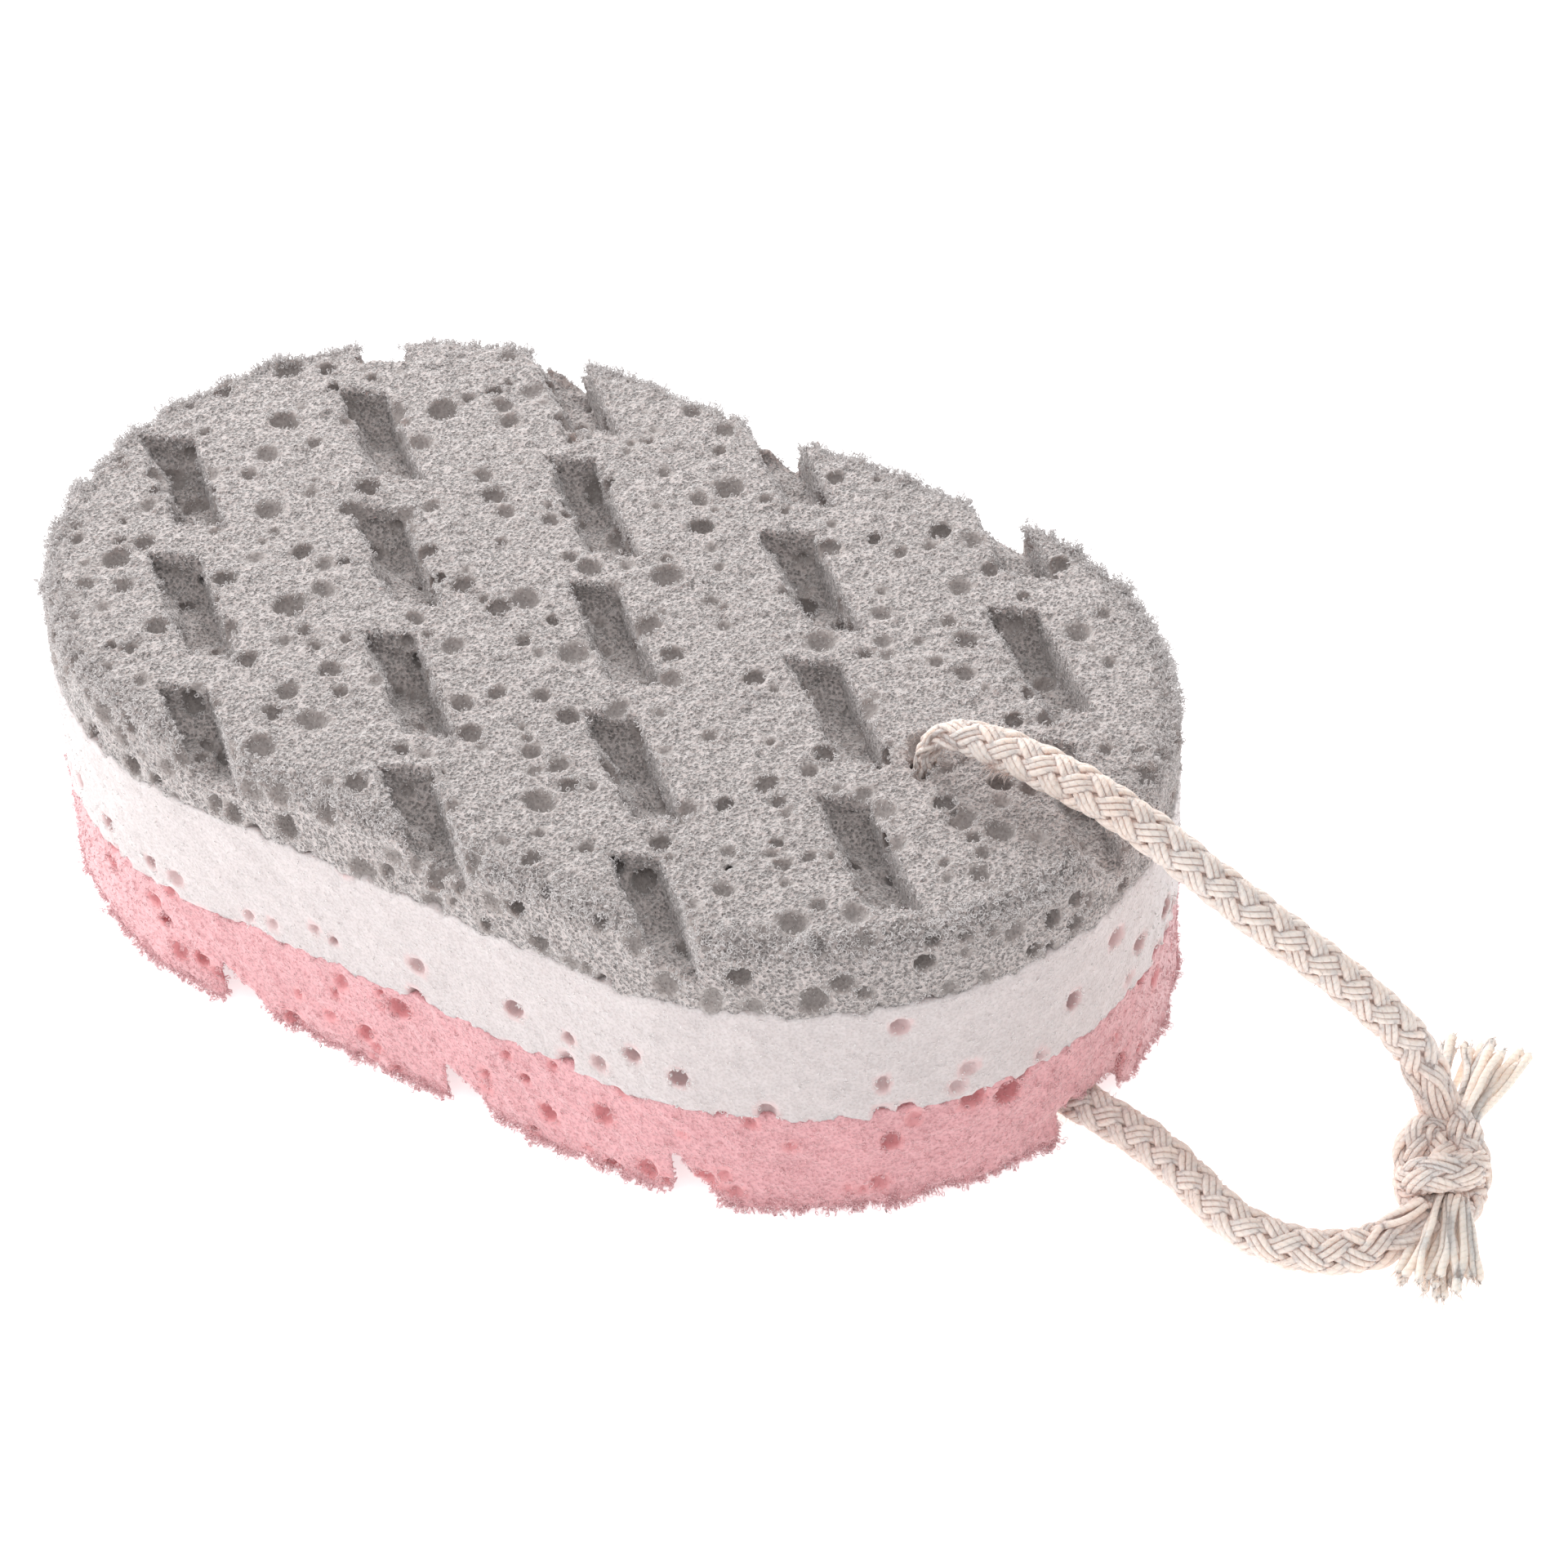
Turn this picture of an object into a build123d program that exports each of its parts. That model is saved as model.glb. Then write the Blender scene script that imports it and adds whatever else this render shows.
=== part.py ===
"""Three-layer bath sponge with a braided hanging cord, in millimetres.

The origin is the middle of the underside, +X runs along the oval towards the cord, and +Z is up.
"""

import os
from math import cos, hypot, pi, radians, sin, tan

from build123d import *

os.makedirs("parts", exist_ok=True)

# The foam block: an oval of three layers, bonded by two thin films
LENGTH = 140.0
WIDTH = 84.0
BOTTOM_LAYER = 14.7
MIDDLE_LAYER = 14.7
TOP_LAYER = 10.0
BOND = 0.3

LOWER_BOND_Z = BOTTOM_LAYER
MIDDLE_Z = LOWER_BOND_Z + BOND
UPPER_BOND_Z = MIDDLE_Z + MIDDLE_LAYER
TOP_Z = UPPER_BOND_Z + BOND
HEIGHT = TOP_Z + TOP_LAYER
END_CENTRE = (LENGTH - WIDTH) / 2
ON_BASE = (Align.CENTER, Align.CENTER, Align.MIN)

# The slots pressed into both outer faces: staggered rows of slanted parallelograms
SLOT_LENGTH = 19.0
SLOT_END = 5.8
SLOT_ANGLE = -39.0
SLOT_END_ANGLE = 24.0
SLOT_PITCH = 30.0
ROW_PITCH = 19.0
PATTERN_TURN = 2.6
TOP_PATTERN = (2.9, -1.2)
BOTTOM_PATTERN = (5.4, -1.2)
TOP_SLOT_DEPTH = 5.5
BOTTOM_SLOT_DEPTH = 6.0
SLOT_REACH = 5.0

# The cord, and the bore it is threaded through
CORD_DIAMETER = 5.0
CORD_RADIUS = CORD_DIAMETER / 2
BORE = (45.0, -2.0)
BORE_RADIUS = 3.0
CORD_JOIN_Z = 20.0
GROUND_Z = 2.65

# Where the cord leaves below, the foam is pressed up into a throat and a fan-shaped channel
CHANNEL_ANGLE = -9.8
CORD_SWING = 5.0
CHANNEL_HEIGHT = 5.6
CHANNEL_HALF_WIDTH = 3.1
CHANNEL_LENGTH = 30.0
THROAT_RADIUS = 5.2
THROAT_TOP = 9.0

# The knot and the frayed ends that stick out of it
KNOT_CENTRE = (108.4, 3.0, 5.4)
KNOT_AXIS_ANGLE = 114.0
KNOT_HALF_LENGTH = 6.4
KNOT_HALF_WIDTH = 5.2
TAIL_ROOT_RADIUS = 1.9
TAIL_FAN = (4.8, 1.9)
UPPER_TAIL = ((108.2, 7.9, 6.6), (105.2, 18.6, 10.0))
LOWER_TAIL = ((112.4, -1.6, 4.6), (114.8, -9.8, 2.4))

# The cord's two runs, from the middle of the bore to the knot
UPPER_ROUTE = [
    (BORE[0], BORE[1], CORD_JOIN_Z),
    (BORE[0], BORE[1], 30.4),
    (45.1, -2.05, 41.6),
    (48.7, -1.8, 45.3),
    (58.5, -1.5, 45.1),
    (70.8, -2.0, 43.7),
    (83.8, -0.4, 35.6),
    (92.6, 2.4, 29.0),
    (99.4, 6.0, 21.4),
    (103.0, 8.4, 14.6),
    (105.2, 8.4, 7.0),
]
LOWER_ROUTE = [
    (BORE[0], BORE[1], CORD_JOIN_Z),
    (BORE[0], BORE[1], 13.4),
    (45.1, -2.05, 6.4),
    (48.4, -2.6, GROUND_Z),
    (56.5, -4.2, GROUND_Z),
    (69.8, -6.2, GROUND_Z),
    (78.4, -7.6, GROUND_Z),
    (85.6, -10.8, GROUND_Z),
    (91.8, -13.6, GROUND_Z),
    (98.0, -14.0, GROUND_Z),
    (103.8, -11.9, GROUND_Z),
    (107.8, -7.8, 3.0),
    (109.8, -2.8, 4.3),
]


def slot_corners(length, end, angle, end_angle):
    """Corners of a slanted slot around its own middle."""
    along = Vector(length / 2 * cos(radians(angle)), length / 2 * sin(radians(angle)))
    across = Vector(end / 2 * cos(radians(end_angle)), end / 2 * sin(radians(end_angle)))
    return [-along - across, along - across, along + across, -along + across]


def slot_centres(pattern):
    """Middles of the staggered slots that reach the oval."""
    centres = []
    for row in range(-3, 4):
        stagger = SLOT_PITCH / 2 if row % 2 else 0.0
        for column in range(-3, 4):
            spot = Vector(column * SLOT_PITCH + stagger, row * ROW_PITCH)
            spot = spot.rotate(Axis.Z, PATTERN_TURN) + Vector(*pattern)
            past_end = max(abs(spot.X) - END_CENTRE, 0.0)
            if hypot(past_end, spot.Y) < WIDTH / 2 + SLOT_REACH:
                centres.append((spot.X, spot.Y))
    return centres


def rounded_path(route):
    """Straight runs joined by tangent arcs, each arc as large as its two runs allow."""
    points = [Vector(*point) for point in route]
    radii = []
    for before, here, after in zip(points, points[1:], points[2:]):
        arriving = here - before
        leaving = after - here
        half_turn = radians(arriving.get_angle(leaving)) / 2
        shorter = min(arriving.length, leaving.length)
        radii.append(0.45 * shorter / tan(half_turn))
    return points, radii


def report_cord(name, radii, part, length):
    """Print the bend radii, and the tube's volume beside its section times its length."""
    print(name, "radii", [round(radius, 1) for radius in radii])
    print(name, "length", round(length, 1))
    print(name, "volume", round(part.volume, 1), "expected", round(pi * CORD_RADIUS**2 * length, 1))


# Foam layers

with BuildPart() as bottom_foam_layer:
    with BuildSketch(Plane.XY):
        SlotOverall(LENGTH, WIDTH)
    extrude(amount=BOTTOM_LAYER)
    with BuildSketch(Plane.XY):
        with Locations(*slot_centres(BOTTOM_PATTERN)):
            Polygon(*slot_corners(SLOT_LENGTH, SLOT_END, SLOT_ANGLE, SLOT_END_ANGLE), align=None)
    extrude(amount=BOTTOM_SLOT_DEPTH, mode=Mode.SUBTRACT)
    fan_half_width = CHANNEL_HALF_WIDTH + CHANNEL_LENGTH * tan(radians(CORD_SWING))
    with BuildSketch(Plane.XY.move(Location((*BORE, 0))).rotated((0, 0, CHANNEL_ANGLE))):
        Polygon(
            (0, -CHANNEL_HALF_WIDTH),
            (CHANNEL_LENGTH, -fan_half_width),
            (CHANNEL_LENGTH, fan_half_width),
            (0, CHANNEL_HALF_WIDTH),
            align=None,
        )
    extrude(amount=CHANNEL_HEIGHT, mode=Mode.SUBTRACT)
    with BuildSketch(Plane.XY):
        with Locations(BORE):
            Circle(BORE_RADIUS)
    extrude(amount=BOTTOM_LAYER, mode=Mode.SUBTRACT)
    with BuildSketch(Plane.XY):
        with Locations(BORE):
            Circle(THROAT_RADIUS)
    extrude(amount=CHANNEL_HEIGHT, mode=Mode.SUBTRACT)
    with Locations((*BORE, CHANNEL_HEIGHT)):
        Cone(THROAT_RADIUS, BORE_RADIUS, THROAT_TOP - CHANNEL_HEIGHT, align=ON_BASE, mode=Mode.SUBTRACT)
bottom_foam_layer.part.label = "bottom_foam_layer"
export_step(bottom_foam_layer.part, "parts/bottom_foam_layer.step")

with BuildPart() as middle_foam_layer:
    with BuildSketch(Plane.XY.offset(MIDDLE_Z)):
        SlotOverall(LENGTH, WIDTH)
        with Locations(BORE):
            Circle(BORE_RADIUS, mode=Mode.SUBTRACT)
    extrude(amount=MIDDLE_LAYER)
middle_foam_layer.part.label = "middle_foam_layer"
export_step(middle_foam_layer.part, "parts/middle_foam_layer.step")

with BuildPart() as top_foam_layer:
    with BuildSketch(Plane.XY.offset(TOP_Z)):
        SlotOverall(LENGTH, WIDTH)
        with Locations(BORE):
            Circle(BORE_RADIUS, mode=Mode.SUBTRACT)
    extrude(amount=TOP_LAYER)
    with BuildSketch(Plane.XY.offset(HEIGHT)):
        with Locations(*slot_centres(TOP_PATTERN)):
            Polygon(*slot_corners(SLOT_LENGTH, SLOT_END, SLOT_ANGLE, SLOT_END_ANGLE), align=None)
    extrude(amount=-TOP_SLOT_DEPTH, mode=Mode.SUBTRACT)
top_foam_layer.part.label = "top_foam_layer"
export_step(top_foam_layer.part, "parts/top_foam_layer.step")


# Bond films between the layers

with BuildPart() as lower_bond_film:
    with BuildSketch(Plane.XY.offset(LOWER_BOND_Z)):
        SlotOverall(LENGTH, WIDTH)
        with Locations(BORE):
            Circle(BORE_RADIUS, mode=Mode.SUBTRACT)
    extrude(amount=BOND)
lower_bond_film.part.label = "lower_bond_film"
export_step(lower_bond_film.part, "parts/lower_bond_film.step")

with BuildPart() as upper_bond_film:
    with BuildSketch(Plane.XY.offset(UPPER_BOND_Z)):
        SlotOverall(LENGTH, WIDTH)
        with Locations(BORE):
            Circle(BORE_RADIUS, mode=Mode.SUBTRACT)
    extrude(amount=BOND)
upper_bond_film.part.label = "upper_bond_film"
export_step(upper_bond_film.part, "parts/upper_bond_film.step")


# The cord, which is one length: its two runs meet in the middle of the bore

upper_points, upper_radii = rounded_path(UPPER_ROUTE)
with BuildPart() as cord_upper_run:
    with BuildLine():
        upper_path = FilletPolyline(*upper_points, radius=upper_radii)
    with BuildSketch(Plane(origin=upper_points[0], z_dir=upper_points[1] - upper_points[0])):
        Circle(CORD_RADIUS)
    sweep(path=upper_path)
cord_upper_run.part.label = "cord_upper_run"
report_cord("cord_upper_run", upper_radii, cord_upper_run.part, upper_path.length)
export_step(cord_upper_run.part, "parts/cord_upper_run.step")

lower_points, lower_radii = rounded_path(LOWER_ROUTE)
with BuildPart() as cord_lower_run:
    with BuildLine():
        lower_path = FilletPolyline(*lower_points, radius=lower_radii)
    with BuildSketch(Plane(origin=lower_points[0], z_dir=lower_points[1] - lower_points[0])):
        Circle(CORD_RADIUS)
    sweep(path=lower_path)
cord_lower_run.part.label = "cord_lower_run"
report_cord("cord_lower_run", lower_radii, cord_lower_run.part, lower_path.length)
export_step(cord_lower_run.part, "parts/cord_lower_run.step")


# The knot, and the two frayed cord ends

knot_direction = Vector(cos(radians(KNOT_AXIS_ANGLE)), sin(radians(KNOT_AXIS_ANGLE)), 0)
with BuildPart() as cord_knot:
    with BuildSketch(Plane(origin=KNOT_CENTRE, x_dir=knot_direction, z_dir=(0, 0, 1))):
        Ellipse(KNOT_HALF_LENGTH, KNOT_HALF_WIDTH)
        with Locations((0, -KNOT_HALF_WIDTH / 2)):
            Rectangle(2 * KNOT_HALF_LENGTH, KNOT_HALF_WIDTH, mode=Mode.SUBTRACT)
    revolve(axis=Axis(KNOT_CENTRE, knot_direction))
cord_knot.part.label = "cord_knot"
export_step(cord_knot.part, "parts/cord_knot.step")


def tail_planes(root, tip):
    """Planes square to a frayed end at its root and at its tip, with their x axes level."""
    direction = Vector(*tip) - Vector(*root)
    level = direction.cross(Vector(0, 0, 1))
    return Plane(origin=root, x_dir=level, z_dir=direction), Plane(origin=tip, x_dir=level, z_dir=direction)


upper_root, upper_tip = tail_planes(*UPPER_TAIL)
with BuildPart() as upper_frayed_end:
    with BuildSketch(upper_root):
        Circle(TAIL_ROOT_RADIUS)
    with BuildSketch(upper_tip):
        Ellipse(*TAIL_FAN)
    loft()
upper_frayed_end.part.label = "upper_frayed_end"
export_step(upper_frayed_end.part, "parts/upper_frayed_end.step")

lower_root, lower_tip = tail_planes(*LOWER_TAIL)
with BuildPart() as lower_frayed_end:
    with BuildSketch(lower_root):
        Circle(TAIL_ROOT_RADIUS)
    with BuildSketch(lower_tip):
        Ellipse(*TAIL_FAN)
    loft()
lower_frayed_end.part.label = "lower_frayed_end"
export_step(lower_frayed_end.part, "parts/lower_frayed_end.step")
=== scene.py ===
"""Looks of a three-layer foam bath sponge with a braided cotton hanging cord."""

import math

import bpy
import numpy as np
import openvdb
from mathutils import Matrix, Vector


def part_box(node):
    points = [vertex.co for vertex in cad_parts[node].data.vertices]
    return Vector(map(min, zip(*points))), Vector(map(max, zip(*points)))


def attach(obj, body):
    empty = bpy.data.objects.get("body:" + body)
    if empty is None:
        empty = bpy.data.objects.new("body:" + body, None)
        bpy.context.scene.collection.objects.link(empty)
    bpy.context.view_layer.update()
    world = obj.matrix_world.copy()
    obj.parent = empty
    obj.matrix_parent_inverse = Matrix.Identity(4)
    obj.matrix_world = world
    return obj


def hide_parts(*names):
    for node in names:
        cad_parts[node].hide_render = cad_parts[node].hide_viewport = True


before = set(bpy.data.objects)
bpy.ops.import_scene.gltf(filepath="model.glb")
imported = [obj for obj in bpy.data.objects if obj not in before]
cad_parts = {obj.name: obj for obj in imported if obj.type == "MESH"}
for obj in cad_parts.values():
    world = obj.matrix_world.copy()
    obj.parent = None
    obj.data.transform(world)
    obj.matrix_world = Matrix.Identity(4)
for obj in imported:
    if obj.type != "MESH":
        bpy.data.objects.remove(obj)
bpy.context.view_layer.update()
MM = 0.001

# How far the lowest points of fibres and foam cells stay above the ground, in millimetres
GROUND_CLEARANCE = 0.02

# Camera, in degrees and metres
AZIMUTH = 35.4373
ELEVATION = 39.7225
ROLL = -2.5545
CAMERA_DISTANCE = 0.6173
CAMERA_OFFSET = (-0.0197, -0.01166)
SENSOR = 36.0
LENS = 119.54

# The cord's two routes, from the middle of the bore to the knot, in metres
UPPER_ROUTE = [
    (0.045, -0.002, 0.020),
    (0.045, -0.002, 0.0304),
    (0.0451, -0.00205, 0.0416),
    (0.0487, -0.0018, 0.0453),
    (0.0585, -0.0015, 0.0451),
    (0.0708, -0.002, 0.0437),
    (0.0838, -0.0004, 0.0356),
    (0.0926, 0.0024, 0.029),
    (0.0994, 0.006, 0.0214),
    (0.103, 0.0084, 0.0146),
    (0.1052, 0.0084, 0.007),
]
LOWER_ROUTE = [
    (0.045, -0.002, 0.020),
    (0.045, -0.002, 0.0134),
    (0.0451, -0.00205, 0.0064),
    (0.0484, -0.0026, 0.00265),
    (0.0565, -0.0042, 0.00265),
    (0.0698, -0.0062, 0.00265),
    (0.0784, -0.0076, 0.00265),
    (0.0856, -0.0108, 0.00265),
    (0.0918, -0.0136, 0.00265),
    (0.098, -0.014, 0.00265),
    (0.1038, -0.0119, 0.00265),
    (0.1078, -0.0078, 0.003),
    (0.1098, -0.0028, 0.0043),
]

# The foam block, in millimetres, as its CAD boxes give it
LAYER_BOXES = {
    name: [np.array(corner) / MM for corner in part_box(name)]
    for name in ("bottom_foam_layer", "middle_foam_layer", "top_foam_layer")
}
HALF_WIDTH = LAYER_BOXES["middle_foam_layer"][1][1]
END_CENTRE = round(LAYER_BOXES["middle_foam_layer"][1][0] - HALF_WIDTH)
HEIGHT = LAYER_BOXES["top_foam_layer"][1][2]
HALF_BOND = (LAYER_BOXES["top_foam_layer"][0][2] - LAYER_BOXES["middle_foam_layer"][1][2]) / 2
RIM_ROUNDING = 1.9
BOND_OVERLAP = 0.2

# The slots of both outer faces, in millimetres and degrees
SLOT_LENGTH = 19.0
SLOT_END = 5.8
SLOT_ANGLE = -39.0
SLOT_END_ANGLE = 24.0
SLOT_PITCH = 30.0
ROW_PITCH = 19.0
PATTERN_TURN = 2.6
SLOT_REACH = 5.0
TOP_PATTERN = (2.9, -1.2)
BOTTOM_PATTERN = (5.4, -1.2)
TOP_SLOT_DEPTH = 5.5
BOTTOM_SLOT_DEPTH = 6.0

# How far the ragged wall of a slot leans back, for each millimetre of depth
TOP_BANK_SLOPE = 0.4
BOTTOM_BANK_SLOPE = 0.75

# The bore, and the channel pressed into the underside, in millimetres and degrees
BORE = (45.0, -2.0)
BORE_RADIUS = 2.8
MOUTH_CLOSING = 0.9
CHANNEL_ANGLE = -9.8
CHANNEL_SPREAD = 5.0
CHANNEL_HEIGHT = 5.6
CHANNEL_HALF_WIDTH = 3.1
THROAT_RADIUS = 5.2
THROAT_TOP = 9.0

# The knot, in millimetres and degrees
KNOT_CENTRE = (108.4, 3.0, 5.4)
KNOT_AXIS_ANGLE = 114.0


# Camera


def make_camera():
    """The camera at the photograph's viewing angle."""
    azimuth, elevation, roll = (math.radians(a) for a in (AZIMUTH, ELEVATION, ROLL))
    forward = Vector((
        -math.sin(azimuth) * math.cos(elevation),
        math.cos(azimuth) * math.cos(elevation),
        -math.sin(elevation),
    ))
    level = Vector((math.cos(azimuth), math.sin(azimuth), 0.0))
    upright = level.cross(forward)
    right = math.cos(roll) * level + math.sin(roll) * upright
    up = math.cos(roll) * upright - math.sin(roll) * level
    data = bpy.data.cameras.new("camera")
    data.lens = LENS
    data.sensor_width = SENSOR
    data.clip_start = 0.01
    data.clip_end = 20.0
    camera = bpy.data.objects.new("camera", data)
    bpy.context.scene.collection.objects.link(camera)
    place = -(right * CAMERA_OFFSET[0] + up * CAMERA_OFFSET[1] + forward * CAMERA_DISTANCE)
    camera.matrix_world = Matrix.Translation(place) @ Matrix((right, up, -forward)).transposed().to_4x4()
    bpy.context.scene.camera = camera


make_camera()


# Mesh tools


def mesh_object(name, points, quads, material, around=None, along=None):
    """A smooth mesh object from an array of points in metres and an array of quads."""
    mesh = bpy.data.meshes.new(name)
    mesh.vertices.add(len(points))
    mesh.vertices.foreach_set("co", np.asarray(points, np.float32).ravel())
    mesh.loops.add(quads.size)
    mesh.loops.foreach_set("vertex_index", np.asarray(quads, np.int32).ravel())
    mesh.polygons.add(len(quads))
    mesh.polygons.foreach_set("loop_start", np.arange(0, quads.size, 4, dtype=np.int32))
    mesh.polygons.foreach_set("use_smooth", np.ones(len(quads), bool))
    for key, values in (("around", around), ("along", along)):
        if values is not None:
            attribute = mesh.attributes.new(key, "FLOAT", "POINT")
            attribute.data.foreach_set("value", np.asarray(values, np.float32))
    mesh.update(calc_edges=True)
    mesh.validate()
    mesh.materials.append(material)
    obj = bpy.data.objects.new(name, mesh)
    bpy.context.scene.collection.objects.link(obj)
    return obj


def unit(vectors):
    """The vectors, each divided by its length."""
    return vectors / np.maximum(np.linalg.norm(vectors, axis=-1, keepdims=True), 1e-12)


class Tubes:
    """Collects thin closed tubes into one mesh."""

    SIDES = 6

    def __init__(self):
        self.points, self.quads, self.around, self.along = [], [], [], []
        self.count = 0

    def add(self, path, radius, outward):
        """A tube along path, in metres. radius is a number or one for each point."""
        steps = len(path)
        tangent = unit(np.gradient(path, axis=0))
        side = unit(np.cross(tangent, outward))
        lift = np.cross(side, tangent)
        radius = np.broadcast_to(radius, (steps,)).copy()
        radius[[0, -1]] *= 0.35
        angle = np.arange(self.SIDES) * 2 * np.pi / self.SIDES
        ring = np.cos(angle)[None, :, None] * side[:, None] + np.sin(angle)[None, :, None] * lift[:, None]
        self.points.append((path[:, None] + ring * radius[:, None, None]).reshape(-1, 3))
        self.around.append(np.tile(angle / (2 * np.pi), steps))
        lengths = np.concatenate([[0], np.cumsum(np.linalg.norm(np.diff(path, axis=0), axis=1))])
        self.along.append(np.repeat(lengths / MM, self.SIDES))
        first = self.count + np.arange(steps - 1)[:, None] * self.SIDES
        here = np.arange(self.SIDES)[None]
        after = (here + 1) % self.SIDES
        near = [first + here, first + after]
        far = [first + after + self.SIDES, first + here + self.SIDES]
        self.quads.append(np.stack(near + far, -1).reshape(-1, 4))
        start = self.count
        end = self.count + (steps - 1) * self.SIDES
        self.quads.append(np.array([
            (start + 3, start + 2, start + 1, start),
            (start + 5, start + 4, start + 3, start),
            (end, end + 1, end + 2, end + 3),
            (end, end + 3, end + 4, end + 5),
        ]))
        self.count += steps * self.SIDES

    def build(self, name, material):
        """The mesh object of every tube added so far, with nothing below the ground."""
        points = np.concatenate(self.points)
        points[:, 2] = np.maximum(points[:, 2], GROUND_CLEARANCE * MM)
        return mesh_object(
            name,
            points,
            np.concatenate(self.quads),
            material,
            np.concatenate(self.around),
            np.concatenate(self.along),
        )


# Materials


class Nodes:
    """A material's nodes, made in short lines."""

    def __init__(self, name):
        self.material = bpy.data.materials.new(name)
        self.material.use_nodes = True
        self.tree = self.material.node_tree
        self.shader = self.tree.nodes["Principled BSDF"]

    def add(self, kind, **inputs):
        """A node of that kind, with its sockets set or linked by name."""
        node = self.tree.nodes.new(kind)
        for socket, value in inputs.items():
            self.put(node.inputs[socket.replace("_", " ")], value)
        return node

    def put(self, socket, value):
        if isinstance(value, bpy.types.NodeSocket):
            self.tree.links.new(value, socket)
        else:
            socket.default_value = value

    def place(self):
        """The point in the object's own frame."""
        return self.add("ShaderNodeTexCoord").outputs["Object"]

    def noise(self, scale, detail=2.0, roughness=0.5):
        """Noise from 0 to 1, with scale waves in a metre."""
        settings = {"Scale": scale, "Detail": detail, "Roughness": roughness}
        node = self.add("ShaderNodeTexNoise", Vector=self.place(), **settings)
        return node.outputs["Fac"]

    def math(self, operation, first, second=0.0, clamp=False):
        node = self.tree.nodes.new("ShaderNodeMath")
        node.operation = operation
        node.use_clamp = clamp
        self.put(node.inputs[0], first)
        self.put(node.inputs[1], second)
        return node.outputs[0]

    def mix(self, factor, first, second, blend="MIX"):
        node = self.tree.nodes.new("ShaderNodeMix")
        node.data_type = "RGBA"
        node.blend_type = blend
        self.put(node.inputs["Factor"], factor)
        self.put(node.inputs["A"], first)
        self.put(node.inputs["B"], second)
        return node.outputs["Result"]

    def ramp(self, factor, low, high):
        """factor stretched so that low gives 0 and high gives 1."""
        node = self.add("ShaderNodeMapRange", Value=factor, From_Min=low, From_Max=high)
        return node.outputs["Result"]

    def attribute(self, name):
        node = self.tree.nodes.new("ShaderNodeAttribute")
        node.attribute_name = name
        return node.outputs["Fac"]

    def bump(self, height, distance, strength=1.0, under=None):
        node = self.add("ShaderNodeBump", Height=height, Distance=distance, Strength=strength)
        if under is not None:
            self.put(node.inputs["Normal"], under)
        return node.outputs["Normal"]


def foam_material(name, light, deep_lit, pore, pore_shade_share, cell_mm, contrast, scatter):
    """Open-cell foam, with its pores smooth inside. Its colour carries painted shade in the cell mouths,
    painted highlights on the cell walls, warmer, deeper-toned painted shade in the pores, and painted light
    that lightens it deep below the outer surface.
    """
    n = Nodes(name)
    cells = n.add("ShaderNodeTexVoronoi", Vector=n.place(), Scale=1.0 / (cell_mm * MM))
    smooth = n.attribute("pore")
    rough = n.math("SUBTRACT", 1.0, n.math("MULTIPLY", smooth, 0.7))
    mouth = n.math("MULTIPLY", n.ramp(cells.outputs["Distance"], 0.5, 0.12), rough)
    wall = n.math("MULTIPLY", n.ramp(cells.outputs["Distance"], 0.48, 0.72), rough)
    granules = n.add("ShaderNodeTexVoronoi", Vector=n.place(), Scale=1.5 / (cell_mm * MM))
    grain = n.math("SUBTRACT", 1.0, granules.outputs["Distance"])
    cloud = n.noise(200.0, 3.0, 0.6)
    # Lighter deep below the outer surface, in slots and pores: painted light that offsets their shade,
    # standing in for light passed through the foam.
    depth = n.ramp(n.attribute("depth"), 0.6, 6.0)
    tone = n.mix(depth, (*light, 1.0), (*deep_lit, 1.0))
    # Warmer, deeper-toned painted shade inside the pores.
    tone = n.mix(n.math("MULTIPLY", smooth, pore_shade_share), tone, (*pore, 1.0))
    # Painted shade in the cell mouths.
    tone = n.mix(n.math("MULTIPLY", mouth, contrast), tone, (*[c * 0.45 for c in deep_lit], 1.0))
    # Painted highlights on the cell walls.
    tone = n.mix(n.math("MULTIPLY", wall, contrast * 1.2), tone, (*[min(c * 2.0, 1.0) for c in light], 1.0))
    shade = n.math("ADD", 0.90, n.math("MULTIPLY", cloud, 0.20))
    shade_colour = n.add("ShaderNodeCombineColor", Red=shade, Green=shade, Blue=shade).outputs["Color"]
    tone = n.mix(1.0, tone, shade_colour, "MULTIPLY")
    n.put(n.shader.inputs["Base Color"], tone)
    n.shader.inputs["Roughness"].default_value = 0.6
    n.shader.inputs["Specular IOR Level"].default_value = 0.3
    n.shader.inputs["Sheen Weight"].default_value = 0.45
    n.shader.inputs["Sheen Roughness"].default_value = 0.45
    n.shader.inputs["Subsurface Weight"].default_value = scatter
    n.shader.inputs["Subsurface Radius"].default_value = (1.0, 0.8, 0.75)
    n.shader.inputs["Subsurface Scale"].default_value = 0.0022
    low = n.bump(n.math("MULTIPLY", mouth, -contrast), 0.0005)
    n.put(n.shader.inputs["Normal"], n.bump(n.math("MULTIPLY", grain, rough), 0.0004 * contrast, 0.8, low))
    return n.material


def strut_material(name, colour):
    """The thin walls and struts of broken cells on cut foam."""
    n = Nodes(name)
    n.shader.inputs["Base Color"].default_value = (*colour, 1.0)
    n.shader.inputs["Roughness"].default_value = 0.5
    n.shader.inputs["Specular IOR Level"].default_value = 0.5
    return n.material


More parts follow.
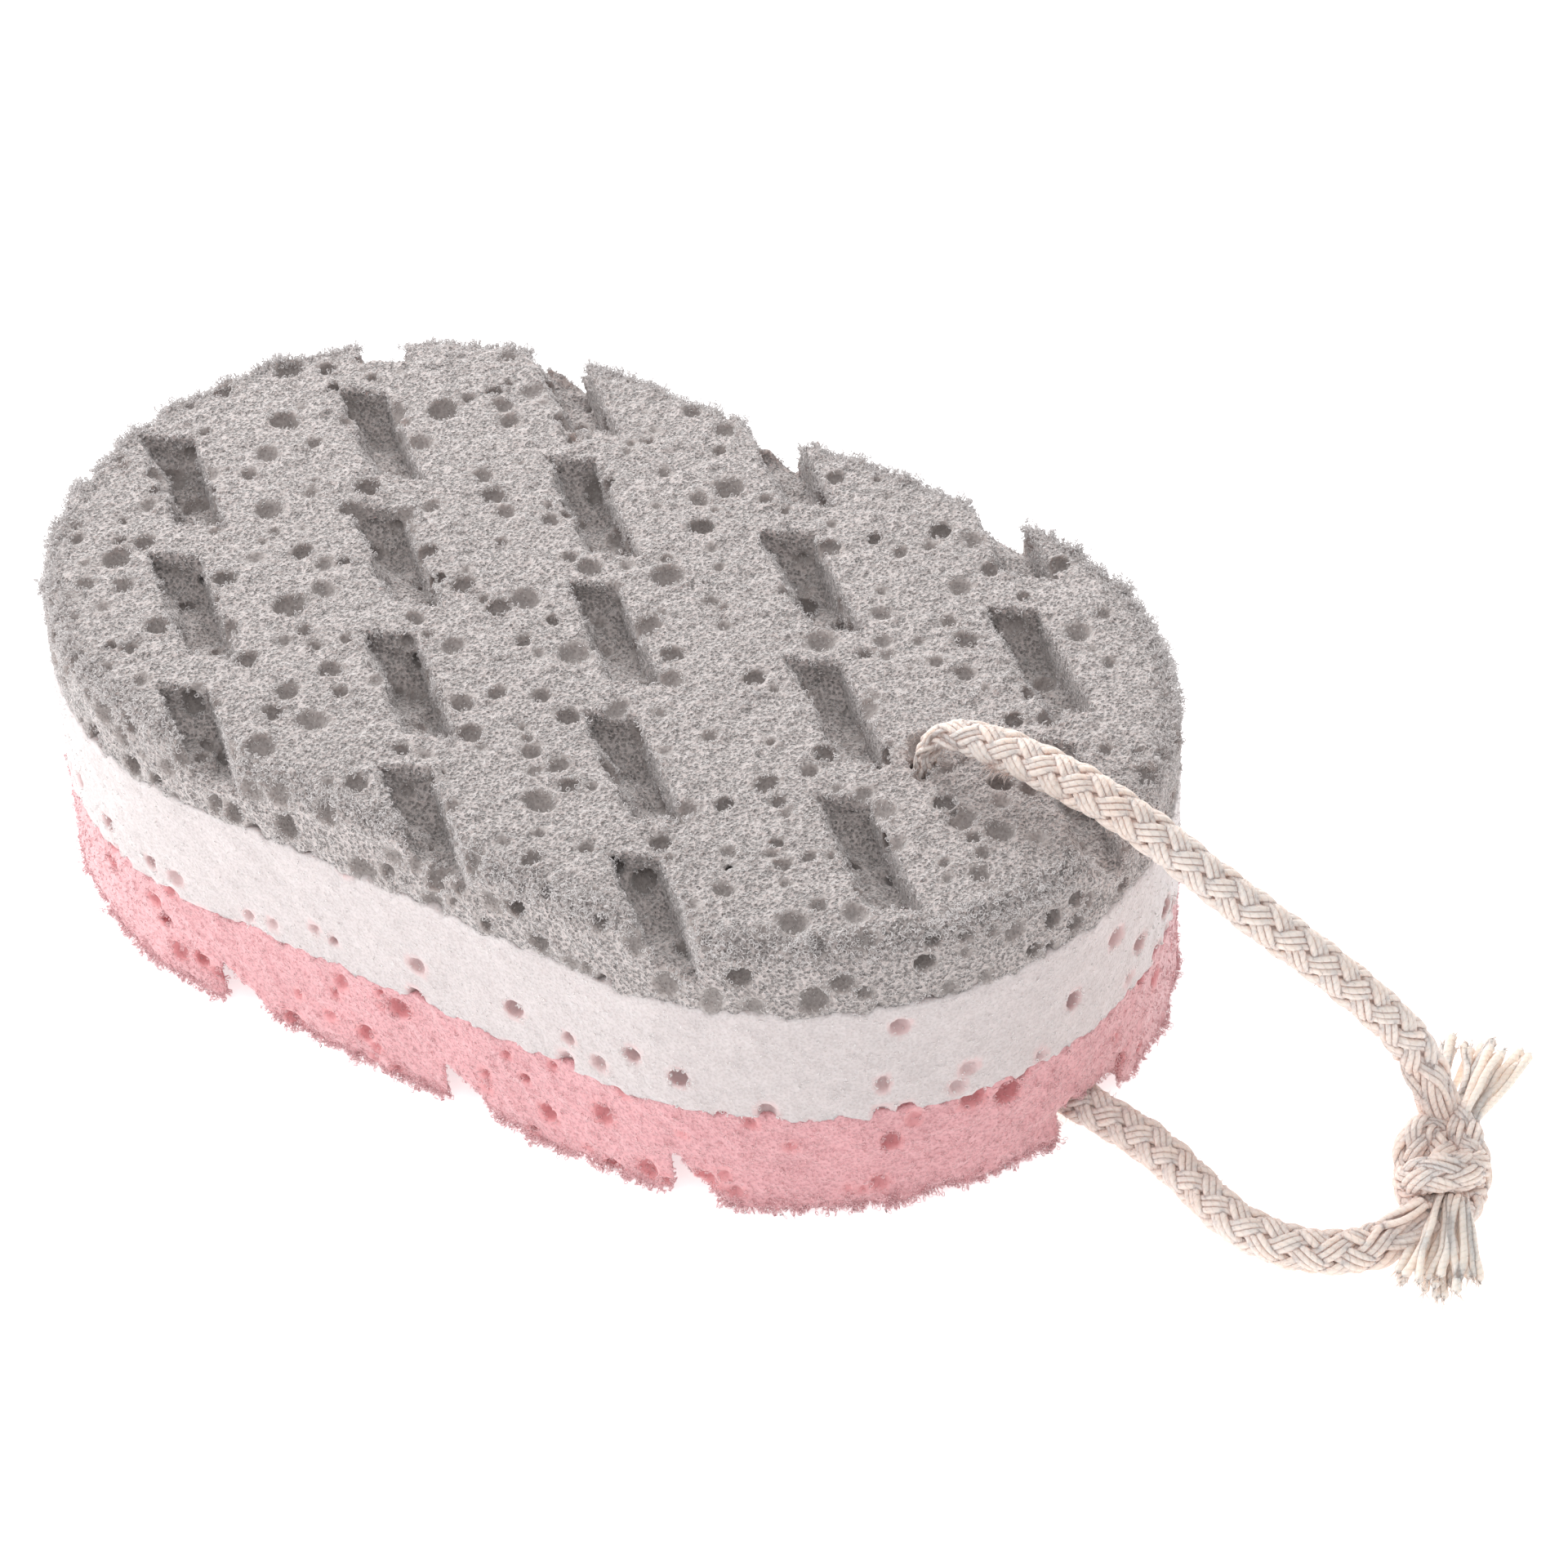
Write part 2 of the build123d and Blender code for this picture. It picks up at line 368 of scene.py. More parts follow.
def yarn_material(name, colour, shade):
    """Undyed cotton yarn: twisted fibres, with warmer painted shade in the grooves between the plies, and a
    soft sheen.
    """
    n = Nodes(name)
    twist = n.math("ADD", n.math("MULTIPLY", n.attribute("along"), 0.62), n.attribute("around"))
    angle = n.math("MULTIPLY", twist, 2 * math.pi * 2)
    ply = n.math("ABSOLUTE", n.math("SINE", n.math("MULTIPLY", angle, 0.5)))
    fibre = n.noise(5200.0, 3.0, 0.65)
    cloud = n.noise(160.0, 2.0)
    groove_shade = n.ramp(ply, 0.35, 0.0)
    tone = n.mix(n.ramp(cloud, 0.35, 0.7), (*colour, 1.0), (*shade, 1.0))
    # Painted shade, darker and warmer, in the grooves between the plies.
    tone = n.mix(n.math("MULTIPLY", groove_shade, 0.12), tone, (*[c * 0.75 for c in shade], 1.0))
    tone = n.mix(n.math("MULTIPLY", n.ramp(fibre, 0.5, 0.8), 0.35), tone, (1.0, 0.84, 0.76, 1.0))
    n.put(n.shader.inputs["Base Color"], tone)
    n.shader.inputs["Roughness"].default_value = 0.85
    n.shader.inputs["Specular IOR Level"].default_value = 0.2
    n.shader.inputs["Sheen Weight"].default_value = 0.25
    n.shader.inputs["Sheen Roughness"].default_value = 0.5
    n.shader.inputs["Sheen Tint"].default_value = (1.0, 0.84, 0.76, 1.0)
    n.shader.inputs["Subsurface Weight"].default_value = 0.7
    n.shader.inputs["Subsurface Radius"].default_value = (1.0, 0.8, 0.7)
    n.shader.inputs["Subsurface Scale"].default_value = 0.0018
    low = n.bump(n.ramp(ply, 0.0, 0.6), 0.00008)
    n.put(n.shader.inputs["Normal"], n.bump(fibre, 0.0001, 0.7, low))
    return n.material


# Each layer's own colour; a lighter one that is painted light deep in slots and pores; and a warmer,
# deeper-toned one that is painted shade inside the pores.
GREY = (0.332, 0.296, 0.288)
GREY_DEEP_LIT = (0.415, 0.370, 0.358)
GREY_PORE_SHADE = (0.32, 0.283, 0.268)
WHITE = (0.53, 0.478, 0.476)
WHITE_DEEP_LIT = (0.57, 0.50, 0.49)
WHITE_PORE_SHADE = (0.62, 0.40, 0.40)
PINK = (0.61, 0.307, 0.326)
PINK_DEEP_LIT = (0.67, 0.315, 0.33)
PINK_PORE_SHADE = (0.74, 0.29, 0.295)
COTTON = (0.97, 0.755, 0.67)
COTTON_WARM = (0.94, 0.69, 0.595)

GREY_LOOK = {"pore_shade_share": 0.5, "cell_mm": 0.38, "contrast": 0.46, "scatter": 0.35}
WHITE_LOOK = {"pore_shade_share": 0.55, "cell_mm": 0.34, "contrast": 0.08, "scatter": 0.4}
PINK_LOOK = {"pore_shade_share": 0.4, "cell_mm": 0.36, "contrast": 0.14, "scatter": 0.35}
grey_foam = foam_material("grey_foam", GREY, GREY_DEEP_LIT, GREY_PORE_SHADE, **GREY_LOOK)
white_foam = foam_material("white_foam", WHITE, WHITE_DEEP_LIT, WHITE_PORE_SHADE, **WHITE_LOOK)
pink_foam = foam_material("pink_foam", PINK, PINK_DEEP_LIT, PINK_PORE_SHADE, **PINK_LOOK)
# The struts are coloured much lighter than their foam: painted light, for light that passes through their
# thin walls.
grey_struts_lit = strut_material("grey_struts_lit", (0.66, 0.625, 0.62))
white_struts_lit = strut_material("white_struts_lit", (0.82, 0.78, 0.775))
pink_struts_lit = strut_material("pink_struts_lit", (0.76, 0.47, 0.49))
cotton = yarn_material("cotton_cord", COTTON, COTTON_WARM)
cotton_yarn = yarn_material("cotton_yarn", (0.98, 0.83, 0.735), (0.96, 0.77, 0.66))


# The cord: eight strands, four each way round

BRAID_LAY = 18.4 * MM
BRAID_RADIUS = 1.84 * MM
BRAID_SWELL = 0.29 * MM
YARN_RADIUS = 0.42 * MM
YARN_SPACING = 0.62 * MM
STRANDS = 4
CORE_RADIUS = 1.6 * MM
PINCH = 0.48
PINCH_LENGTH = 11 * MM
LINE_STEP = 0.25 * MM
FUZZ_PER_MM = 9
FUZZ_REACH = 1.3 * MM
TUFT_FIBRES = 70


class Line:
    """A smooth line with a frame that doesn't twist, read at any distance along it."""

    def __init__(self, points, up):
        gaps = np.linalg.norm(np.diff(points, axis=0), axis=1)
        keep = np.concatenate([[True], gaps > 1e-9])
        points = points[keep]
        lengths = np.concatenate([[0], np.cumsum(np.linalg.norm(np.diff(points, axis=0), axis=1))])
        self.length = lengths[-1]
        steps = int(self.length / LINE_STEP) + 2
        self.along = np.linspace(0, self.length, steps)
        self.centre = np.stack([np.interp(self.along, lengths, points[:, i]) for i in range(3)], 1)
        self.tangent = unit(np.gradient(self.centre, axis=0))
        normal = np.array(up, float)
        normals = []
        for direction in self.tangent:
            normal = normal - direction * (normal @ direction)
            normal /= np.linalg.norm(normal)
            normals.append(normal)
        self.normal = np.array(normals)
        self.side = np.cross(self.tangent, self.normal)

    def read(self, values, distance):
        """Values of the line, read at each distance."""
        return np.stack([np.interp(distance, self.along, values[:, i]) for i in range(3)], 1)


def spline_points(name, route):
    """Points of the smooth NURBS line that has the route as its control points."""
    curve = bpy.data.curves.new(name, "CURVE")
    curve.dimensions = "3D"
    curve.resolution_u = 32
    spline = curve.splines.new("NURBS")
    spline.points.add(len(route) - 1)
    for point, place in zip(spline.points, route):
        point.co = (*place, 1.0)
    spline.order_u = 3
    spline.use_endpoint_u = True
    obj = bpy.data.objects.new(name, curve)
    mesh = bpy.data.meshes.new_from_object(obj)
    points = np.array([vertex.co for vertex in mesh.vertices], float)
    bpy.data.objects.remove(obj)
    bpy.data.meshes.remove(mesh)
    bpy.data.curves.remove(curve)
    return points


def braid(tubes, line, phase, size, rng, loose=None):
    """Eight strands of three yarns each, four each way, passing over and under each other.

    phase is the angle that the strands have turned through at each distance, size scales the
    cross-section there, and loose (from 0 to 1) lets the yarns wander."""
    turn = np.gradient(phase, line.along)
    loose = np.zeros_like(phase) if loose is None else loose
    for way in (1, -1):
        slant = np.arctan(way * BRAID_RADIUS * turn)
        height = BRAID_RADIUS + way * BRAID_SWELL * np.cos(STRANDS * phase)
        for strand in range(STRANDS):
            for yarn in (-1, 0, 1):
                drift = wander(line.along, rng, 7 * MM, 1.0)
                lift = wander(line.along, rng, 4 * MM, 1.0)
                offset = yarn * YARN_SPACING * (1 + 0.10 * lift)
                radius = (height + loose * lift * 0.35 * MM + 0.04 * MM * lift) * size
                angle = way * phase + strand * 2 * np.pi / STRANDS
                angle = angle + offset * np.cos(slant) / BRAID_RADIUS + loose * drift * 0.35 + 0.03 * drift
                distance = np.clip(line.along - offset * np.sin(slant), 0, line.length)
                out = line.read(line.normal, distance) * np.cos(angle)[:, None]
                out = out + line.read(line.side, distance) * np.sin(angle)[:, None]
                path = line.read(line.centre, distance) + out * radius[:, None]
                tubes.add(path, YARN_RADIUS * (1 + 0.08 * drift) * np.sqrt(size), out)


def core(tubes, line, size):
    """The bundle of straight filler yarns inside the braid, seen only in its gaps."""
    tubes.add(line.centre[::2], CORE_RADIUS * size[::2], line.normal[::2])


def wander(distance, rng, wavelength, amount):
    """A smooth random wave along a distance."""
    count = int(distance[-1] / wavelength) + 4
    knots = rng.uniform(-1, 1, count)
    place = distance / wavelength + 0.5
    index = np.clip(place.astype(int), 0, count - 2)
    share = place - index
    share = share * share * (3 - 2 * share)
    return amount * (knots[index] * (1 - share) + knots[index + 1] * share)


def fuzz(tubes, line, count, rng, reach):
    """Fine stray fibres that stand out of the cord."""
    for _ in range(count):
        distance = rng.uniform(0.02, 0.98) * line.length
        angle = rng.uniform(0, 2 * np.pi)
        at = np.array([distance])
        normal, side, tangent = (line.read(v, at)[0] for v in (line.normal, line.side, line.tangent))
        out = normal * np.cos(angle) + side * np.sin(angle)
        lean = tangent * rng.uniform(-1, 1) + np.cross(out, tangent) * rng.uniform(-0.8, 0.8)
        root = line.read(line.centre, at)[0] + out * (BRAID_RADIUS + 0.2 * MM)
        long = rng.uniform(0.4, 1.0) * reach
        share = np.linspace(0, 1, 4)[:, None]
        curl = np.cross(out, lean) * rng.uniform(-0.5, 0.5)
        path = root + (out * share + lean * share**1.5 * 0.8 + curl * share**2) * long
        tubes.add(path, np.linspace(0.028, 0.012, 4) * MM, tangent)


def tuft(tubes, line, distance, rng):
    """A tuft of pulled fibres that hangs from one place on the cord."""
    at = np.array([distance])
    parts = (line.centre, line.normal, line.side, line.tangent)
    centre, normal, side, tangent = (line.read(part, at)[0] for part in parts)
    out = unit(normal * 0.9 - np.array((0.0, 0.0, 0.6)))
    for _ in range(TUFT_FIBRES):
        root = centre + out * 1.9 * MM + tangent * rng.normal(0, 0.7) * MM + side * rng.normal(0, 0.4) * MM
        heading = unit(out + tangent * rng.normal(-0.35, 0.35) + side * rng.normal(0, 0.4))
        share = np.linspace(0, 1, 5)[:, None]
        bend = np.clip(rng.normal(0, 0.2, 3), -0.4, 0.4)
        path = root + (heading * share + bend * share**2) * rng.uniform(0.8, 1.8) * MM
        tubes.add(path, np.linspace(0.07, 0.02, 5) * MM, tangent)


def even_phase(line, start, straighten):
    """Strand angles that advance evenly, and stop turning over the last stretch."""
    rate = 2 * np.pi / BRAID_LAY
    left = line.length - line.along
    share = np.clip(left / straighten, 0, 1) if straighten else np.ones_like(left)
    rates = rate * (share * share * (3 - 2 * share))
    step = line.along[1] - line.along[0]
    return start + np.concatenate([[0], np.cumsum((rates[1:] + rates[:-1]) / 2 * step)])


def make_run(name, route, seed, straighten, squeeze_at, tuft_at, node):
    """One run of the cord, as the braid it is, pinched and loosened where it leaves the bore.

    Its strands stop turning over the last stretch, straighten. A tuft_at of 0 leaves the tuft out."""
    rng = np.random.default_rng(seed)
    line = Line(spline_points(name + "_line", route), (0, -1, 0))
    phase = even_phase(line, 0.4, straighten)
    left = line.length - line.along
    loose = np.clip(1 - left / (straighten * 1.2), 0, 1)
    open_out = np.clip((line.along - squeeze_at) / PINCH_LENGTH, 0, 1)
    pinch = 1 - open_out * open_out * (3 - 2 * open_out)
    size = 1 + 0.03 * wander(line.along, rng, 9 * MM, 1.0) + 0.04 * loose - PINCH * pinch
    loose = np.maximum(loose, 0.9 * pinch)
    tubes = Tubes()
    core(tubes, line, size)
    braid(tubes, line, phase, size, rng, loose)
    fuzz(tubes, line, int(line.length / MM * FUZZ_PER_MM), rng, FUZZ_REACH)
    if tuft_at:
        tuft(tubes, line, tuft_at, rng)
    run = tubes.build(name, cotton)
    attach(run, "cord")
    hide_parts(node)
    return run, line


upper_run, upper_line = make_run(
    "upper_cord_braid",
    UPPER_ROUTE,
    seed=11,
    straighten=13 * MM,
    squeeze_at=22 * MM,
    tuft_at=33 * MM,
    node="cord_upper_run",
)
lower_run, lower_line = make_run(
    "lower_cord_braid",
    LOWER_ROUTE,
    seed=12,
    straighten=9 * MM,
    squeeze_at=10 * MM,
    tuft_at=0.0,
    node="cord_lower_run",
)


# The knot

KNOT_ACROSS = Vector((math.sin(math.radians(KNOT_AXIS_ANGLE)), -math.cos(math.radians(KNOT_AXIS_ANGLE)), 0.0))
KNOT_ALONG = Vector((math.cos(math.radians(KNOT_AXIS_ANGLE)), math.sin(math.radians(KNOT_AXIS_ANGLE)), 0.0))

# Each cord end's way through the knot: along its axis, across it and up, in millimetres
LOWER_BIGHT = [
    (-6.8, -1.6, -1.2),
    (-4.2, -2.2, -2.2),
    (-1.0, -3.2, -1.0),
    (1.8, -3.5, 1.6),
    (3.9, -2.4, 2.4),
    (4.6, 0.0, 0.6),
    (3.6, 2.6, -1.4),
    (1.0, 3.4, -1.8),
    (-2.0, 2.6, -2.6),
    (-6.0, 1.6, -1.6),
]
UPPER_BIGHT = [
    (6.6, -1.6, 1.0),
    (3.8, -1.9, -1.6),
    (0.6, -2.0, -2.2),
    (-2.4, -3.4, 0.0),
    (-3.9, -2.2, 2.6),
    (-3.6, 0.8, 3.4),
    (-2.0, 3.2, 2.0),
    (0.8, 3.0, 1.2),
    (3.6, 1.8, 2.4),
    (6.4, 1.2, 2.2),
]

KNOT_MIDDLE = [(-3.6, -0.4, -0.2), (0.0, 0.3, 0.5), (3.6, 0.2, 0.6)]


def knot_point(place):
    """A point of the knot in the shared frame, in metres."""
    along, across, up = place
    centre = Vector(KNOT_CENTRE)
    return tuple((centre + KNOT_ALONG * along + KNOT_ACROSS * across + Vector((0, 0, up))) * MM)


def make_knot():
    """The two cord ends, each bent round the other."""
    rng = np.random.default_rng(21)
    tubes = Tubes()
    for index, bight in enumerate((LOWER_BIGHT, UPPER_BIGHT)):
        line = Line(spline_points(f"knot_line_{index}", [knot_point(place) for place in bight]), (0, 0, 1))
        phase = even_phase(line, 0.9 * index, 0.0)
        size = 0.86 + 0.04 * wander(line.along, rng, 6 * MM, 1.0)
        core(tubes, line, size)
        braid(tubes, line, phase, size, rng, np.full_like(phase, 0.25))
        fuzz(tubes, line, 90, rng, 1.0 * MM)
    middle = Line(spline_points("knot_middle", [knot_point(place) for place in KNOT_MIDDLE]), (0, 0, 1))
    size = np.full_like(middle.along, 1.15)
    core(tubes, middle, size)
    braid(tubes, middle, even_phase(middle, 0.3, 0.0), size, rng)
    knot = tubes.build("square_knot", cotton)
    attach(knot, "cord")
    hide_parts("cord_knot")
    return knot


knot = make_knot()


# The frayed ends

TAIL_YARNS = 20
HAIRS_PER_YARN = 7


def make_tail(name, seed, root, tip, fan, node):
    """Loose yarns that spread out of the knot. root and tip are points in metres.

    fan is how far the tips spread to the sides and up and down."""
    rng = np.random.default_rng(seed)
    root, tip = np.array(root), np.array(tip)
    direction = tip - root
    long = np.linalg.norm(direction)
    direction /= long
    flat = unit(np.cross(direction, (0, 0, 1)))
    rise = np.cross(flat, direction)
    tubes = Tubes()
    for index in range(TAIL_YARNS):
        spread = (index + 0.5) / TAIL_YARNS * 2 - 1 + rng.uniform(-0.08, 0.08)
        level = rng.uniform(-1, 1) * math.sqrt(max(1 - 0.8 * spread * spread, 0.1))
        begin = root + flat * spread * 1.7 * MM + rise * level * 1.3 * MM
        reach = long * rng.uniform(0.78, 1.08) * (1 - 0.12 * spread * spread)
        end = root + direction * reach + flat * spread * fan[0] + rise * level * fan[1]
        end[2] = max(end[2], 0.9 * MM)
        share = np.linspace(0, 1, 26)
        bow = np.sin(share * np.pi)
        path = begin + (end - begin) * share[:, None]
        path = path + flat * (rng.uniform(-0.7, 0.7) * MM * bow)[:, None]
        path = path + rise * (rng.uniform(-0.5, 0.9) * MM * bow)[:, None]
        wave = wander(share, rng, 0.25, 0.28 * MM)
        path = path + flat * wave[:, None] + rise * wander(share, rng, 0.22, 0.22 * MM)[:, None]
        path = path - direction * 2.5 * MM * (1 - share[:, None]) ** 2
        thick = rng.uniform(0.42, 0.56) * MM * (0.8 + 0.25 * share)
        thick = thick * (1 + 0.08 * wander(share, rng, 0.1, 1.0))
        tubes.add(path, thick, np.broadcast_to(rise, path.shape))
        heading = unit(path[-1] - path[-4])
        for _ in range(HAIRS_PER_YARN):
            stray = unit(heading + rng.normal(0, 0.35, 3))
            step = np.linspace(0, 1, 4)[:, None]
            bend = rng.normal(0, 0.2, 3)
            hair_root = path[-2] + rng.normal(0, 0.16, 3) * MM
            hair = hair_root + (stray * step + bend * step**2) * rng.uniform(0.7, 1.6) * MM
            tubes.add(hair, np.linspace(0.09, 0.03, 4) * MM, np.broadcast_to(rise, hair.shape))
    tail = tubes.build(name, cotton_yarn)
    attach(tail, "cord")
    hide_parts(node)
    return tail


upper_tail = make_tail(
    "upper_yarn_ends",
    seed=31,
    root=(0.1068, 0.0090, 0.0080),
    tip=(0.1048, 0.0200, 0.0098),
    fan=(5.4 * MM, 2.0 * MM),
    node="upper_frayed_end",
)
lower_tail = make_tail(
    "lower_yarn_ends",
    seed=32,
    root=(0.1118, -0.0022, 0.0046),
    tip=(0.1150, -0.0110, 0.0022),
    fan=(4.6 * MM, 1.4 * MM),
    node="lower_frayed_end",
)


# The foam, as fields of distance in millimetres on a grid, negative inside


def slot_centres(pattern):
    """Middles of the staggered slots that reach the oval."""
    turn = math.radians(PATTERN_TURN)
    centres = []
    for row in range(-3, 4):
        for column in range(-3, 4):
            x = column * SLOT_PITCH + (SLOT_PITCH / 2 if row % 2 else 0.0)
            y = row * ROW_PITCH
            x, y = x * math.cos(turn) - y * math.sin(turn), x * math.sin(turn) + y * math.cos(turn)
            x, y = x + pattern[0], y + pattern[1]
            if math.hypot(max(abs(x) - END_CENTRE, 0.0), y) < HALF_WIDTH + SLOT_REACH:
                centres.append((x, y))
    return centres


def smooth_max(first, second, blend):
    """The larger of two fields, rounded where they meet."""
    gap = np.clip(0.5 + 0.5 * (first - second) / blend, 0, 1)
    return second + (first - second) * gap + blend * gap * (1 - gap)


def bond_wave(x, y):
    """The small unevenness of a bonded face, the same on both layers that meet there, in millimetres."""
    rng = np.random.default_rng(71)
    wave = 0.0
    for _ in range(14):
        way, start = rng.uniform(0, 2 * math.pi, 2)
        count = 2 * math.pi / rng.uniform(1.2, 5.0)
        wave = wave + 0.09 * np.sin((x * math.cos(way) + y * math.sin(way)) * count + start)
    return wave


class Foam:
    """A grid around one layer, and the distance to the layer's surface at each of its points."""

    MARGIN = 2.4

    def __init__(self, low, high, voxel, seed):
        self.voxel = voxel * 1.0
        self.low = np.array(low) - self.MARGIN
        count = np.ceil((np.array(high) + self.MARGIN - self.low) / self.voxel).astype(int)
        self.axes = [(self.low[i] + np.arange(count[i]) * self.voxel).astype(np.float32) for i in range(3)]
        self.x = self.axes[0][:, None, None]
        self.y = self.axes[1][None, :, None]
        self.z = self.axes[2][None, None, :]
        self.rng = np.random.default_rng(seed)
        past_end = np.maximum(np.abs(self.x) - END_CENTRE, 0)
        self.side = (np.hypot(past_end, self.y) - HALF_WIDTH).astype(np.float32)
        self.hull = None
        self.field = None
        self.base = None
        self.pore = np.zeros([len(a) for a in self.axes], np.float32)
        self.taken = []

    def noise(self, wavelength):
        """Smooth random values from -1 to 1 over the whole grid."""
        counts = [int((a[-1] - a[0]) / wavelength) + 3 for a in self.axes]
        values = self.rng.uniform(-1, 1, counts).astype(np.float32)
        for i, axis in enumerate(self.axes):
            place = (axis - axis[0]) / wavelength
            index = place.astype(int)
            share = place - index
            share = (share * share * (3 - 2 * share)).astype(np.float32)
            shape = [1, 1, 1]
            shape[i] = -1
            share = share.reshape(shape)
            values = values.take(index, i) * (1 - share) + values.take(index + 1, i) * share
        return values

    def rounded_rim(self, face):
        """The oval's side and one outer face, with a rounded rim between them."""
        a = np.broadcast_to(self.side + RIM_ROUNDING, np.broadcast_shapes(self.side.shape, face.shape))
        b = face + RIM_ROUNDING
        return np.minimum(np.maximum(a, b), 0) + np.hypot(np.maximum(a, 0), np.maximum(b, 0)) - RIM_ROUNDING

    def ragged_rim(self, face, rough, fine):
        """How much more the foam is torn near the rim of one outer face."""
        near = np.exp(-(np.hypot(self.side, face) / 2.0) ** 2)
        return near * (0.7 + 0.8 * rough + 0.5 * fine)

    def window(self, centre, reach):
        """Slices of the grid within reach of a point, for each axis."""
        cuts = []
        for i in range(3):
            first = int((centre[i] - reach[i] - self.low[i]) / self.voxel)
            last = int((centre[i] + reach[i] - self.low[i]) / self.voxel) + 2
            cuts.append(slice(max(first, 0), max(min(last, len(self.axes[i])), 0)))
        return tuple(cuts)

    def cut(self, cuts, hollow, blend):
        """Take a hollow out of the part of the field in the window."""
        self.field[cuts] = smooth_max(self.field[cuts], -hollow, blend)

    def cut_slots(self, pattern, face_z, inward, depth, bank_slope, rough, fine):
        """Slanted slots pressed into the face at face_z. inward is -1 or 1, along Z.

        One long wall is a clean cliff, the other a ragged bank that leans back by bank_slope."""
        long, end = math.radians(SLOT_ANGLE), math.radians(SLOT_END_ANGLE)
        across_long = (-math.sin(long), math.cos(long))
        across_end = (-math.sin(end), math.cos(end))
        half_wide = SLOT_END / 2 * abs(math.sin(end - long))
        half_long = SLOT_LENGTH / 2 * abs(math.sin(long - end))
        for x0, y0 in slot_centres(pattern):
            cuts = self.window((x0, y0, face_z + inward * depth / 2), (14, 12, depth + 3))
            dx = self.x[cuts[0]] - x0
            dy = self.y[:, cuts[1]] - y0
            below = (self.z[:, :, cuts[2]] - face_z) * inward
            across = -inward * (dx * across_long[0] + dy * across_long[1])
            cliff = across - half_wide * self.rng.uniform(0.95, 1.1) + 0.10 * rough[cuts] + 0.12 * fine[cuts]
            bank = -across - half_wide - 0.5 + bank_slope * below + 0.7 * rough[cuts] + 0.35 * fine[cuts]
            ends = np.abs(dx * across_end[0] + dy * across_end[1]) - half_long * self.rng.uniform(0.97, 1.05)
            ramp = np.clip((ends + 4.5) / 4.5, 0, 1) ** 2 * 2.2
            slope = np.clip(across / half_wide, -1, 1)
            level = depth * self.rng.uniform(0.92, 1.08) - ramp + 0.7 * slope
            floor = below - level + 0.8 * rough[cuts] + 0.4 * fine[cuts]
            sides = np.maximum(np.maximum(cliff, bank), ends + 0.35 * rough[cuts] + 0.2 * fine[cuts])
            self.cut(cuts, np.maximum(sides, floor), 0.35)

    def cut_pores(self, density, small, large, power, rough, keep=None):
        """Round pores wherever a bubble in the foam meets a surface.

        There are density bubbles to a cubic millimetre, with radii from small to large. A higher
        power makes large ones rarer."""
        low = np.array([a[0] for a in self.axes])
        high = np.array([a[-1] for a in self.axes])
        count = int(density * np.prod(high - low))
        centres = self.rng.uniform(low, high, (count, 3))
        sizes = small + (large - small) * self.rng.uniform(0, 1, count) ** power
        stretch = self.rng.uniform(0.85, 1.2, (count, 3))
        index = np.round((centres - low) / self.voxel).astype(int)
        index = np.minimum(index, np.array(self.field.shape) - 1)
        at = self.base[index[:, 0], index[:, 1], index[:, 2]]
        near = (at > -0.7 * sizes) & (at < 0.15 * sizes)
        if keep is not None:
            near &= keep(centres, self.rng)
        for centre, size, wide in zip(centres[near], sizes[near], stretch[near]):
            if any(np.linalg.norm(centre - other) < 1.15 * (size + reach) for other, reach in self.taken):
                continue
            self.taken.append((centre, size))
            cuts = self.window(centre, size * wide + 0.8)
            gap = np.sqrt(
                ((self.x[cuts[0]] - centre[0]) / wide[0]) ** 2
                + ((self.y[:, cuts[1]] - centre[1]) / wide[1]) ** 2
                + ((self.z[:, :, cuts[2]] - centre[2]) / wide[2]) ** 2
            )
            hollow = gap - size + 0.10 * rough[cuts]
            self.cut(cuts, hollow, 0.22)
            self.pore[cuts] = np.maximum(self.pore[cuts], np.clip(1.3 - hollow / 0.5, 0, 1))

    def cut_bore(self, fine):
        """The round hole that the cord is threaded through."""
        closed = np.clip((self.z - HEIGHT + 5.0) / 3.0, 0, 1)
        gap = np.hypot(self.x - BORE[0], self.y - BORE[1]) - BORE_RADIUS + MOUTH_CLOSING * closed
        self.field = smooth_max(self.field, -(gap + 0.15 * fine), 0.3)

    def mesh(self, name, material, z_low, z_high):
        """The layer as a mesh object, cut off at z_low and z_high with the waves of the bonded faces."""
        wave = bond_wave(self.x, self.y)
        bottom = z_low + wave - BOND_OVERLAP if z_low > 0 else 0.1
        field = np.maximum(self.field, np.maximum(bottom - self.z, self.z - z_high - wave - BOND_OVERLAP))
        grid = openvdb.FloatGrid(background=3.0)
        grid.copyFromArray(np.ascontiguousarray(field, dtype=np.float32))
        grid.transform = openvdb.createLinearTransform(voxelSize=float(self.voxel))
        points, quads = grid.convertToQuads(isovalue=0.0)
        points = np.asarray(points, float) + self.low
        quads = np.asarray(quads, np.int64)
        corners = points[quads]
        normal = np.cross(corners[:, 2] - corners[:, 0], corners[:, 3] - corners[:, 1])
        if (normal * corners.mean(1)).sum() < 0:
            quads = quads[:, ::-1]
            normal = -normal
        obj = mesh_object(name, points * MM, quads, material)
        index = np.round((points - self.low) / self.voxel).astype(int)
        index = np.clip(index, 0, np.array(field.shape) - 1)
        for key, values in (("depth", -self.hull), ("pore", self.pore)):
            read = values[index[:, 0], index[:, 1], index[:, 2]]
            attribute = obj.data.attributes.new(key, "FLOAT", "POINT")
            attribute.data.foreach_set("value", read.astype(np.float32))
        return obj, points, quads, normal


